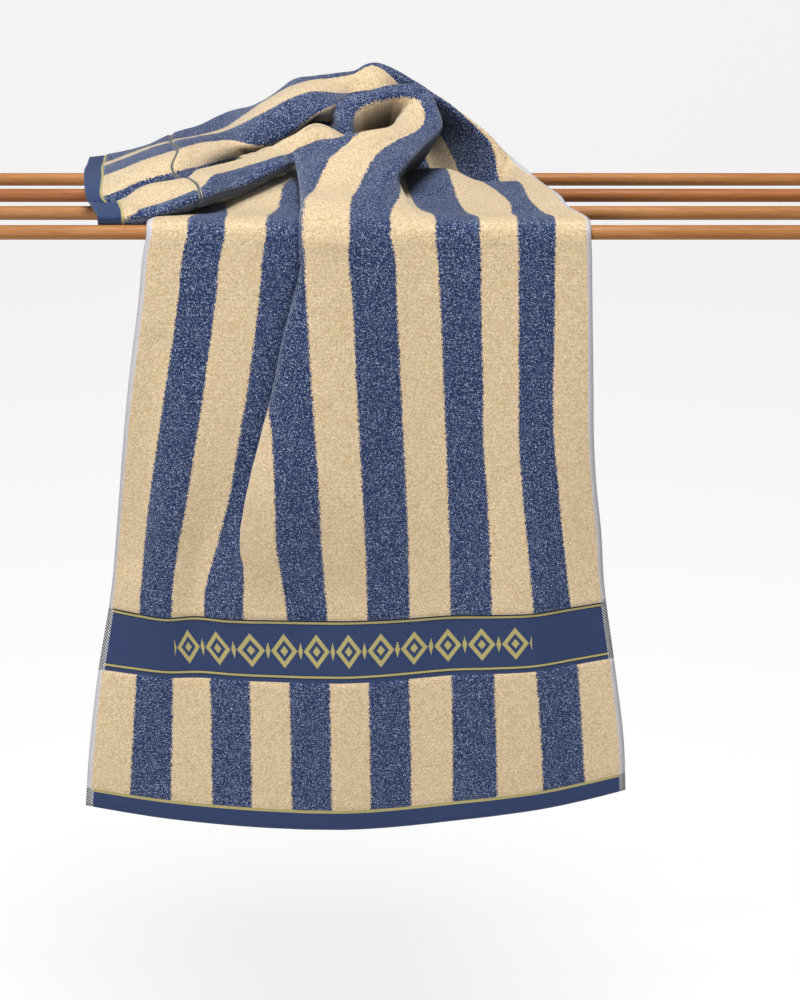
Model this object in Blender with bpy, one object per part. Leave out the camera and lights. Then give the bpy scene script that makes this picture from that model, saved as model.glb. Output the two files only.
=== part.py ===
"""Striped terry hand towel draped over four parallel wooden rods.

Metres, +Z up.  The rods run along X, the front rod's axis is the line Y = 0, Z = 0, and the
others lie behind it along +Y.  The towel hangs down in front of the front rod, with one long
pleat to the left of its middle.  Above the rods it rises, turns to the left in a ring, and
its far end lies along the rods as a rolled bundle.  The towel is one closed sheet.
"""

import bpy
import numpy as np
from math import pi

MM = 0.001

# Rods (mm)
ROD_NAMES = ("front_rod", "second_rod", "third_rod", "back_rod")
ROD_RADIUS = 6.0
ROD_PITCH = 83.0
ROD_LENGTH = 820.0
ROD_SIDES = 32

# Towel (mm)
WIDTH = 500.0
LENGTH = 1180.0
STRIPES = 13
THICKNESS = 4.0
ROD_GAP = 0.7
LAYER = 3.0            # half the distance between two layers of a flat pleat
FRONT_DROP = 558.0     # from the near hem up to the level of the front rod's axis
FAR_LINE = 82.0        # thin woven line, in from the far hem
FAR_HEM = 18.0
LIFT = ROD_RADIUS + THICKNESS / 2 + ROD_GAP   # middle of the cloth above a rod's axis

# The hanging panel.  One row for each height above the near hem: X of the left selvedge, of the
# twelve stripe edges and of the right selvedge; where along the cloth's width the pleat has its
# inner fold (root) and its outer fold (tip); X of the tip; how far the pleat is closed, 0 to 1.
PANEL = (
    (0, (-288, -248, -211, -172, -136, -99, -62, -27, 10, 48, 89, 131, 170, 206), 146, 166, -142, 0.0),
    (51, (-283, -244, -208, -171, -135, -99, -62, -27, 10, 48, 88, 129, 166, 203), 146, 166, -140, 0.0),
    (147, (-270, -235, -203, -170, -134, -99, -62, -28, 8, 46, 84, 121, 158, 191), 146, 166, -138, 0.0),
    (234, (-254, -227, -200, -172, -137, -101, -65, -29, 8, 44, 80, 115, 147, 179), 146, 166, -138, 0.0),
    (281, (-248, -221, -193, -168, -139, -103, -67, -30, 7, 43, 78, 110, 141, 175), 144, 160, -139, 0.5),
    (327, (-242, -214, -183, -155, -131, -103, -68, -32, 5, 41, 75, 105, 136, 169), 149, 164, -131, 0.9),
    (373, (-236, -206, -174, -143, -119, -99, -70, -34, 3, 39, 71, 101, 131, 165), 158, 177, -119, 1.0),
    (417, (-230, -198, -166, -133, -107, -94, -72, -36, 1, 37, 70, 100, 129, 163), 168, 194, -107, 1.0),
    (503, (-216, -183, -152, -120, -94, -89, -75, -39, -3, 33, 67, 98, 128, 159), 182, 217, -88, 1.0),
    (545, (-210, -177, -146, -114, -89, -84, -77, -42, -5, 30, 66, 97, 127, 157), 189, 226, -80, 1.0),
)
# The same row where the cloth bends over the front rod.
OVER_ROD = (558, (-207, -173, -143, -111, -88, -84, -76, -41, -8, 29, 65, 96, 127, 156), 189, 227, -80, 1.0)

# Level of the hanging cloth: height above the near hem, then Z at the left, middle and right.
LEVELS = (
    (0, -528, -552, -512),
    (150, -394, -402, -382),
    (210, -337, -343, -330),
    (558, 0, 0, 0),
)

# Soft hollows (+) and swells (-) of the panel: where across and along the cloth, how wide and
# how tall each is, and how far it reaches back.
HOLLOWS = (
    (0, 250, 42, 110, 15),
    (62, 300, 26, 150, -5),
    (104, 235, 30, 110, 7),
    (246, 120, 60, 120, -6),
    (352, 250, 40, 150, 4),
    (410, 160, 34, 130, -5),
    (500, 240, 44, 120, 9),
)

# The cloth above and behind the front rod.  One row for each section across the cloth, from the
# front rod to the far hem.  Its columns: where along the width the root and the tip of the pleat
# lie, the radius of their bends, where along the width the lobe lies, and the points that the
# section passes through: left selvedge, root, tip, lobe (the roll's lower front), hollow behind
# it, stripe edge 7, crest, stripe edges 8 to 12 and right selvedge.
SECTION_POINTS = ("left", "root", "tip", "lobe", "hollow", "edge_7", "crest",
                  "edge_8", "edge_9", "edge_10", "edge_11", "edge_12", "right")
SECTIONS = (
    ("low slope", 170, 216, 3.2, 231,
     ((-190, 40, 7), (-48, 42, 15), (-82, 40, 24), (-69, 40, 29), (-52, 40, 30),
      (-35, 40, 27), (-17, 40, 30), (2, 41, 22), (16, 42, 9),
      (57, 41, 6), (94, 41, 6), (120, 41, 7), (142, 40, 13))),
    ("high slope", 150, 200, 3.5, 231,
     ((-205, 80, 9), (-64, 88, 24), (-86, 77, 36), (-60, 76, 44), (-43, 77, 46),
      (-24, 78, 44), (14, 80, 49), (4, 98, 30), (9, 83, 11),
      (50, 83, 9), (93, 83, 9), (112, 83, 10), (138, 80, 15))),
    ("third rod", 125, 197, 4, 231,
     ((-203, 120, 8), (-84, 124, 27), (-88, 91, 42), (-45, 98, 55), (-22, 102, 58),
      (0, 108, 54), (21, 113, 54), (10, 146, 31), (2, 158, 22),
      (41, 168, 22), (72, 166, 11), (106, 160, 12), (126, 150, 15))),
    ("foot", 105, 197, 4, 231,
     ((-206, 146, 9), (-104, 140, 26), (-88, 95, 43), (-30, 116, 63), (-4, 132, 64),
      (20, 150, 64), (36, 158, 64), (22, 186, 35), (4, 218, 8),
      (34, 212, 5), (60, 204, 5), (92, 192, 8), (108, 203, 24))),
    ("wall", 85, 198, 4, 231,
     ((-212, 165, 7), (-122, 150, 25), (-89, 98, 43), (-6, 136, 54), (8, 184, 38),
      (18, 173, 82), (26, 178, 83), (29, 186, 82), (6, 216, 52),
      (14, 246, 38), (40, 232, 42), (79, 212, 46), (90, 222, 32))),
    ("peak", 65, 198, 4, 231,
     ((-220, 178, 10), (-138, 159, 23), (-90, 99, 43), (-18, 146, 54), (-14, 190, 41),
      (-11, 173, 86), (-11, 180, 90), (-11, 188, 93), (-10, 203, 80),
      (-14, 209, 86), (-20, 222, 106), (-12, 234, 103), (-8, 242, 70))),
    ("limb", 48, 198, 4, 231,
     ((-230, 186, 10), (-156, 167, 21), (-92, 99, 42), (-39, 138, 56), (-38, 168, 38),
      (-41, 162, 74), (-51, 167, 81), (-61, 170, 76), (-53, 190, 81),
      (-48, 202, 86), (-44, 215, 100), (-44, 228, 98), (-42, 240, 66))),
    ("dip", 41, 198, 4, 231,
     ((-236, 189, 10), (-166, 171, 20), (-93, 98, 41), (-52, 130, 55), (-47, 139, 51),
      (-44, 146, 56), (-53, 152, 60), (-62, 156, 59), (-61, 162, 79),
      (-60, 182, 88), (-60, 206, 98), (-60, 224, 97), (-57, 236, 60))),
    ("ridge", 34, 199, 4, 231,
     ((-240, 191, 10), (-176, 175, 19), (-95, 97, 41), (-70, 122, 55), (-70, 134, 62),
      (-72, 144, 67), (-74, 166, 48), (-75, 160, 71), (-77, 148, 80),
      (-77, 168, 91), (-78, 198, 97), (-78, 219, 95), (-75, 232, 55))),
    ("shoulder", 29, 199, 4, 231,
     ((-245, 193, 10), (-188, 178, 18), (-98, 91, 41), (-88, 110, 49), (-91, 126, 54),
      (-94, 140, 59), (-95, 158, 42), (-97, 152, 63), (-94, 144, 72),
      (-95, 167, 87), (-97, 199, 92), (-97, 221, 92), (-97, 237, 50))),
    ("middle of the roll", 24, 200, 4, 231,
     ((-250, 195, 10), (-200, 182, 17), (-101, 84, 41), (-107, 98, 45), (-112, 118, 48),
      (-115, 134, 51), (-118, 152, 34), (-117, 146, 56), (-114, 140, 63),
      (-115, 166, 80), (-118, 200, 81), (-119, 224, 74), (-118, 242, 34))),
    ("lobes part", 16, 199, 4, 231,
     ((-258, 203, 10), (-224, 190, 15), (-137, 54, 28), (-144, 74, 41), (-153, 94, 39),
      (-160, 112, 37), (-162, 128, 23), (-158, 126, 40), (-156, 146, 50),
      (-160, 184, 56), (-163, 208, 56), (-163, 238, 60), (-163, 241, 0))),
    ("wrist", 14, 202, 3.8, 231,
     ((-264, 203, 10), (-236, 191, 14), (-149, 37, 28), (-157, 50, 36), (-165, 68, 36),
      (-173, 86, 35), (-171, 99, 27), (-176, 98, 37), (-175, 124, 52),
      (-179, 161, 52), (-182, 189, 49), (-184, 221, 53), (-187, 240, 18))),
    ("far line", 12, 206, 3.5, 231,
     ((-269, 204, 10), (-248, 193, 14), (-163, 20, 26), (-165, 30, 29), (-170, 46, 32),
      (-179, 62, 33), (-180, 72, 25), (-192, 74, 36), (-191, 102, 50),
      (-200, 138, 51), (-205, 170, 47), (-208, 204, 48), (-208, 224, 26))),
    ("half way", 11, 219, 3.2, 240,
     ((-275, 204, 9), (-257, 193, 14), (-202, 8, 14), (-206, 20, 16), (-211, 34, 24),
      (-214, 48, 28), (-212, 58, 18), (-219, 64, 30), (-220, 92, 42),
      (-225, 130, 44), (-230, 162, 41), (-233, 196, 38), (-238, 215, 24))),
    ("far hem's seam", 10, 232, 3, 250,
     ((-281, 203, 9), (-265, 194, 13), (-226, 2, 12), (-229, 14, 17), (-232, 24, 19),
      (-237, 36, 17), (-244, 42, 15), (-250, 48, 19), (-254, 84, 30),
      (-260, 122, 32), (-265, 160, 29), (-268, 192, 31), (-270, 208, 22))),
    ("far hem", 10, 232, 3, 250,
     ((-285, 203, 9), (-279, 194, 13), (-248, 2, 11), (-252, 14, 14), (-256, 24, 17),
      (-259, 36, 17), (-260, 42, 15), (-264, 48, 19), (-271, 82, 25),
      (-277, 120, 29), (-281, 158, 28), (-284, 192, 29), (-286, 208, 22))),
)

# Where between the left selvedge and the pleat's root the hidden columns of a section lie.
UNDER_SHARES = (0, 0.2, 0.35, 0.7)

# How many steps the mesh takes between two neighbouring columns (pleat bends first, then the
# stripes to the right selvedge) and between two neighbouring rows.
COLUMN_STEPS = (1, 1, 1, 2, 3, 3, 2, 3, 3, 1, 2, 2, 2, 2, 3, 3, 3, 3, 3)
PANEL_STEPS = (1, 2, 2, 1, 1, 1, 1, 2, 1)
BEND_STEPS = (1, 2, 2)
SECTION_STEPS = (3, 3, 3, 3, 3, 3, 2, 2, 2, 3, 3, 3, 3, 3, 3, 3, 2)

# Finish
CLOTH_COLOUR = (0.55, 0.48, 0.38)
ROD_COLOURS = ((0.44, 0.20, 0.08), (0.46, 0.21, 0.08), (0.40, 0.15, 0.06), (0.46, 0.20, 0.08))


def clear_scene():
    """Start from an empty scene."""
    for old in list(bpy.data.objects):
        bpy.data.objects.remove(old, do_unlink=True)


def plain_material(name, colour, roughness):
    """A Principled material of one colour."""
    material = bpy.data.materials.new(name)
    material.use_nodes = True
    shader = material.node_tree.nodes["Principled BSDF"]
    shader.inputs["Base Color"].default_value = (*colour, 1.0)
    shader.inputs["Roughness"].default_value = roughness
    shader.inputs["Metallic"].default_value = 0.0
    return material


def smooth_curve(knots, points, at):
    """Read a smooth curve through points, which lie at uneven knots, at the values in at."""
    gap = np.diff(knots)
    slope = np.diff(points, axis=0) / gap[:, None]
    lean = np.empty_like(points)
    lean[1:-1] = (slope[:-1] * gap[1:, None] + slope[1:] * gap[:-1, None]) / (gap[1:] + gap[:-1])[:, None]
    lean[0], lean[-1] = slope[0], slope[-1]
    i = np.clip(np.searchsorted(knots, at, side="right") - 1, 0, len(knots) - 2)
    h = gap[i][:, None]
    s = (at - knots[i])[:, None] / h
    return ((1 + 2 * s) * (1 - s) ** 2 * points[i] + s * (1 - s) ** 2 * h * lean[i]
            + s * s * (3 - 2 * s) * points[i + 1] + s * s * (s - 1) * h * lean[i + 1])


def stripe_edge(number):
    """Distance of a stripe edge from the left selvedge, across the cloth."""
    return number * WIDTH / STRIPES


def pleat_columns(root, tip, bend, lobe):
    """Distances from the left selvedge of the twenty columns that carry the shape."""
    half = bend * pi / 2
    inner = max(root - half, 0.6 * root)
    under = [0, 0.25 * inner, 0.5 * inner, 0.75 * inner]
    lobe = max(lobe, tip + half + 4)
    folds = [inner, root, root + half, tip - half, tip, tip + half, lobe]
    hollow = (lobe + stripe_edge(7)) / 2
    crest = (stripe_edge(7) + stripe_edge(8)) / 2
    over = [hollow, stripe_edge(7), crest] + [stripe_edge(k) for k in range(8, STRIPES + 1)]
    return np.array(under + folds + over)


def panel_level(height, across):
    """Z of the hanging cloth at a height above the near hem: its hem hangs lowest midway."""
    table = np.array(LEVELS, float)
    left, middle, right = (np.interp(height, table[:, 0], table[:, k]) for k in (1, 2, 3))
    s = across / WIDTH
    return left * (1 - s) * (1 - 2 * s) + 4 * middle * s * (1 - s) + right * s * (2 * s - 1)


def panel_hollow(height, across):
    """How far back the hollows push the hanging cloth."""
    depth = np.zeros_like(across)
    for u, v, wide, tall, reach in HOLLOWS:
        depth += reach * np.exp(-((across - u) / wide) ** 2 - ((height - v) / tall) ** 2)
    return depth


def panel_section(row):
    """Columns of the hanging panel: their place across the cloth, X, Z and stacking height."""
    height, edges_x, root, tip, tip_x, closed = row
    across = pleat_columns(root, tip, LAYER, 240)
    open_x = np.interp(across, [stripe_edge(k) for k in range(STRIPES + 1)], edges_x)
    root_x = tip_x + tip - root
    folded_x = open_x.copy()
    folded_x[4:10] = [root_x - LAYER, root_x, root_x - LAYER, tip_x + LAYER, tip_x, tip_x + LAYER]
    folded_x[3] = (open_x[2] + folded_x[4]) / 2
    folded_x[10] = max(folded_x[9] + 6, open_x[10])
    x = open_x * (1 - closed) + folded_x * closed
    stack = np.array([0, 0, 0, 0, 0, 1, 2, 2, 3, 4, 4.1, 3.95, 3.7, 2.5, 1.3, 0.3, 0, 0, 0, 0])
    return across, x, panel_level(height, across), stack * LAYER * closed


def roll_section(root_across, tip_across, bend, lobe_across, points):
    """Columns of a section behind the front rod, with a round bend at the root and the tip."""
    place = {name: np.array(point, float) for name, point in zip(SECTION_POINTS, points)}
    out = place["root"] - place["tip"]
    out[2] = 0.0
    out *= bend / np.linalg.norm(out)
    up = np.array([0.0, 0.0, bend])
    left, root, tip = place["left"], place["root"], place["tip"]
    low = root - out - up
    under = [left + (low - left) * share for share in UNDER_SHARES]
    folds = [low, root, root - out + up, tip + out - up, tip, tip + out + up]
    over = [place[name] for name in SECTION_POINTS[3:]]
    return pleat_columns(root_across, tip_across, bend, lobe_across), np.array(under + folds + over)


def control_rows():
    """All rows of columns from the near hem to the far hem: distance along the cloth, distances
    across it, and points in space."""
    rows = []
    for row in PANEL:
        across, x, z, stack = panel_section(row)
        y = panel_hollow(row[0], across) - LIFT - stack
        rows.append((row[0], across, np.column_stack([x, y, z])))
    across, x, _, stack = panel_section(OVER_ROD)
    for turn in (0.0, pi / 4, pi / 2):
        y, z = -(LIFT + stack) * np.cos(turn), (LIFT + stack) * np.sin(turn)
        rows.append((FRONT_DROP + LIFT * turn, across, np.column_stack([x, y, z])))
    first = len(rows) - 1
    for _, root, tip, bend, lobe, points in SECTIONS:
        across, section = roll_section(root, tip, bend, lobe, points)
        rows.append((0.0, across, section))
    along = np.array([row[0] for row in rows])
    across = np.array([row[1] for row in rows])
    points = np.array([row[2] for row in rows])
    line = first + 1 + [section[0] for section in SECTIONS].index("far line")
    outer = np.linalg.norm(np.diff(points[first:line + 1, 9:], axis=0), axis=2).mean(axis=1)
    share = np.cumsum(outer) / outer.sum()
    along[first + 1:line + 1] = along[first] + share * (LENGTH - FAR_LINE - along[first])
    along[line + 1:] = LENGTH - (FAR_LINE + FAR_HEM) / 2, LENGTH - FAR_HEM, LENGTH
    return along, across, points


def stepped(steps):
    """Fractional positions along a list of columns or rows, with so many steps in each gap."""
    at = [0.0]
    for i, count in enumerate(steps):
        at += [i + (k + 1) / count for k in range(count)]
    return np.array(at)


def cloth_surface(column_steps, row_steps):
    """The middle surface of the cloth as a grid of points."""
    along, across, points = control_rows()
    run = np.linalg.norm(np.diff(points, axis=0), axis=2).mean(axis=1)
    knots = np.concatenate([[0.0], np.cumsum(run)])
    at = np.interp(stepped(row_steps), np.arange(len(knots)), knots)
    flat = smooth_curve(knots, points.reshape(len(knots), -1), at).reshape(len(at), -1, 3)
    widths = smooth_curve(knots, across, at)
    columns = stepped(column_steps)
    grid = np.empty((len(at), len(columns), 3))
    for j, (width, section) in enumerate(zip(widths, flat)):
        grid[j] = smooth_curve(width, section, np.interp(columns, np.arange(len(width)), width))
    return rest_on_rods(grid)


def rest_on_rods(grid):
    """Lift the cloth off every rod."""
    y, z = grid[..., 1], grid[..., 2]
    for number in range(len(ROD_NAMES)):
        away = y - number * ROD_PITCH
        reach = np.maximum(np.hypot(away, z), 0.001)
        scale = np.maximum(LIFT / reach, 1)
        y += away * (scale - 1)
        z *= scale
    return grid


def grid_normals(grid):
    """Unit normals of a grid of points."""
    normals = np.cross(np.gradient(grid, axis=1), np.gradient(grid, axis=0))
    return normals / np.linalg.norm(normals, axis=2, keepdims=True)


def closed_sheet(name, grid, thickness):
    """One closed body: the grid's two faces and the rim that joins them."""
    rows, columns, _ = grid.shape
    half = grid_normals(grid) * thickness / 2
    points = np.concatenate([(grid + half).reshape(-1, 3), (grid - half).reshape(-1, 3)]) * MM
    back = rows * columns
    faces = []
    for j in range(rows - 1):
        for i in range(columns - 1):
            a, b = j * columns + i, j * columns + i + 1
            c, d = b + columns, a + columns
            faces.append((a, b, c, d))
            faces.append((back + d, back + c, back + b, back + a))
    rim = [i for i in range(columns)]
    rim += [j * columns + columns - 1 for j in range(1, rows)]
    rim += [(rows - 1) * columns + i for i in range(columns - 2, -1, -1)]
    rim += [j * columns for j in range(rows - 2, 0, -1)]
    for a, b in zip(rim, rim[1:] + rim[:1]):
        faces.append((b, a, back + a, back + b))
    mesh = bpy.data.meshes.new(name)
    mesh.from_pydata([tuple(p) for p in points], [], faces)
    mesh.validate()
    return mesh


def build_towel():
    """The towel, one solid."""
    grid = cloth_surface(COLUMN_STEPS, PANEL_STEPS + BEND_STEPS + SECTION_STEPS)
    mesh = closed_sheet("towel", grid, THICKNESS)
    towel = bpy.data.objects.new("towel", mesh)
    bpy.context.collection.objects.link(towel)
    mesh.materials.append(plain_material("terry", CLOTH_COLOUR, 0.95))
    mesh.shade_smooth()
    return towel


def build_rods():
    """Four equal round rods, side by side."""
    for number, (name, colour) in enumerate(zip(ROD_NAMES, ROD_COLOURS)):
        bpy.ops.mesh.primitive_cylinder_add(
            vertices=ROD_SIDES, radius=ROD_RADIUS * MM, depth=ROD_LENGTH * MM,
            location=(0, number * ROD_PITCH * MM, 0), rotation=(0, pi / 2, 0))
        rod = bpy.context.object
        rod.name = name
        rod.data.name = name
        rod.data.materials.append(plain_material(name + "_wood", colour, 0.5))
        rod.data.shade_smooth()
        rod.data.set_sharp_from_angle(angle=pi / 4)


clear_scene()
build_rods()
build_towel()
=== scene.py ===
"""Striped terry hand towel over four wooden rods: the cloth, its weave, the wood and the light.

The scene is in metres.  The towel's own tables are in millimetres and are scaled by MM.  Across
the cloth is measured from the towel's left selvedge, along the cloth from its near hem.
"""

from math import pi, radians

import bpy
import numpy as np
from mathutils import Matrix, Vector
from mathutils.bvhtree import BVHTree


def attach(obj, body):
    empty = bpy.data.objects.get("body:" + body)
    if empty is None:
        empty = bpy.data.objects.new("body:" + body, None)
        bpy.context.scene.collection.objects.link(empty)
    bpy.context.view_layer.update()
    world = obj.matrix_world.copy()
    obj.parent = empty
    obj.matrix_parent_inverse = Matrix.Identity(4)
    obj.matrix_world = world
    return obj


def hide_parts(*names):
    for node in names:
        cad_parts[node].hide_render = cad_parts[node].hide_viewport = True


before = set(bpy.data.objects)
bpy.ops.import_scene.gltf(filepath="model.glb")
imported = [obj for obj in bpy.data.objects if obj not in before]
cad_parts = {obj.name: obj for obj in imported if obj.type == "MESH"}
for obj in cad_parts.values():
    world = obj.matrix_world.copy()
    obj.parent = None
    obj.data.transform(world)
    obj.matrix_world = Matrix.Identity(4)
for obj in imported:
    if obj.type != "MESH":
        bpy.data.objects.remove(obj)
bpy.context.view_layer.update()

MM = 0.001

# Rods (mm)
RODS = ("front_rod", "second_rod", "third_rod", "back_rod")
ROD_RADIUS = 6.0
ROD_PITCH = 83.0

# Towel (mm)
WIDTH = 500.0
LENGTH = 1180.0
STRIPES = 13
THICKNESS = 4.0
ROD_GAP = 0.7
LAYER = 3.0            # half the distance between two layers of a flat pleat
FRONT_DROP = 558.0     # from the near hem up to the level of the front rod's axis
FAR_LINE = 82.0        # thin woven line, in from the far hem
FAR_HEM = 18.0
LIFT = ROD_RADIUS + THICKNESS / 2 + ROD_GAP   # middle of the cloth above a rod's axis

# Woven layout along the length (mm from the near hem), and the width of the flat selvedges
HEM = 17.0
HEM_LINE = 20.5
BAND_START = 150.0
BAND_END = 210.0
FAR_LINE_START = LENGTH - FAR_LINE
FAR_LINE_END = FAR_LINE_START + 3.0
FAR_HEM_START = LENGTH - FAR_HEM
SELVEDGE = 5.2

# Thickness of the cloth's kinds (mm)
PILE_THICK = 4.3
FLAT_THICK = 2.0
HEM_THICK = 3.0
EDGE_THICK = 1.8
SOFTEN = 1.6           # length over which one thickness runs into the next
LUMP = 0.16            # unevenness of the pile

# Stretches of flat weave: where each starts and ends along the cloth, and its thickness.  The
# hems' own ends are left open.
FLAT_STRETCHES = (
    (-1, HEM_LINE, HEM_THICK),
    (BAND_START, BAND_END, FLAT_THICK),
    (FAR_LINE_START, FAR_LINE_END, FLAT_THICK),
    (FAR_HEM_START, LENGTH + 1, HEM_THICK),
)

# The hanging panel.  One row for each height above the near hem: X of the left selvedge, of the
# twelve stripe edges and of the right selvedge; where along the cloth's width the pleat has its
# inner fold (root) and its outer fold (tip); X of the tip; how far the pleat is closed, 0 to 1.
PANEL = (
    (0, (-288, -248, -211, -172, -136, -99, -62, -27, 10, 48, 89, 131, 170, 206), 146, 166, -142, 0.0),
    (51, (-283, -244, -208, -171, -135, -99, -62, -27, 10, 48, 88, 129, 166, 203), 146, 166, -140, 0.0),
    (147, (-270, -235, -203, -170, -134, -99, -62, -28, 8, 46, 84, 121, 158, 191), 146, 166, -138, 0.0),
    (234, (-254, -227, -200, -172, -137, -101, -65, -29, 8, 44, 80, 115, 147, 179), 146, 166, -138, 0.0),
    (281, (-248, -221, -193, -168, -139, -103, -67, -30, 7, 43, 78, 110, 141, 175), 144, 160, -139, 0.5),
    (327, (-242, -214, -183, -155, -131, -103, -68, -32, 5, 41, 75, 105, 136, 169), 149, 164, -131, 0.9),
    (373, (-236, -206, -174, -143, -119, -99, -70, -34, 3, 39, 71, 101, 131, 165), 158, 177, -119, 1.0),
    (417, (-230, -198, -166, -133, -107, -94, -72, -36, 1, 37, 70, 100, 129, 163), 168, 194, -107, 1.0),
    (503, (-216, -183, -152, -120, -94, -89, -75, -39, -3, 33, 67, 98, 128, 159), 182, 217, -88, 1.0),
    (545, (-210, -177, -146, -114, -89, -84, -77, -42, -5, 30, 66, 97, 127, 157), 189, 226, -80, 1.0),
)
# The same row where the cloth bends over the front rod.
OVER_ROD = (558, (-207, -173, -143, -111, -88, -84, -72, -41, -8, 29, 65, 96, 127, 156), 189, 227, -80, 1.0)

# Level of the hanging cloth: height above the near hem, then Z at the left, middle and right.
LEVELS = (
    (0, -528, -552, -512),
    (150, -394, -402, -382),
    (210, -337, -343, -330),
    (558, 0, 0, 0),
)

# Soft hollows (+) and swells (-) of the panel: where across and along the cloth, how wide and
# how tall each is, and how far it reaches back.
HOLLOWS = (
    (0, 250, 42, 110, 15),
    (62, 300, 26, 150, -5),
    (104, 235, 30, 110, 7),
    (246, 120, 60, 120, -6),
    (352, 250, 40, 150, 4),
    (410, 160, 34, 130, -5),
    (500, 240, 44, 120, 9),
)

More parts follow.
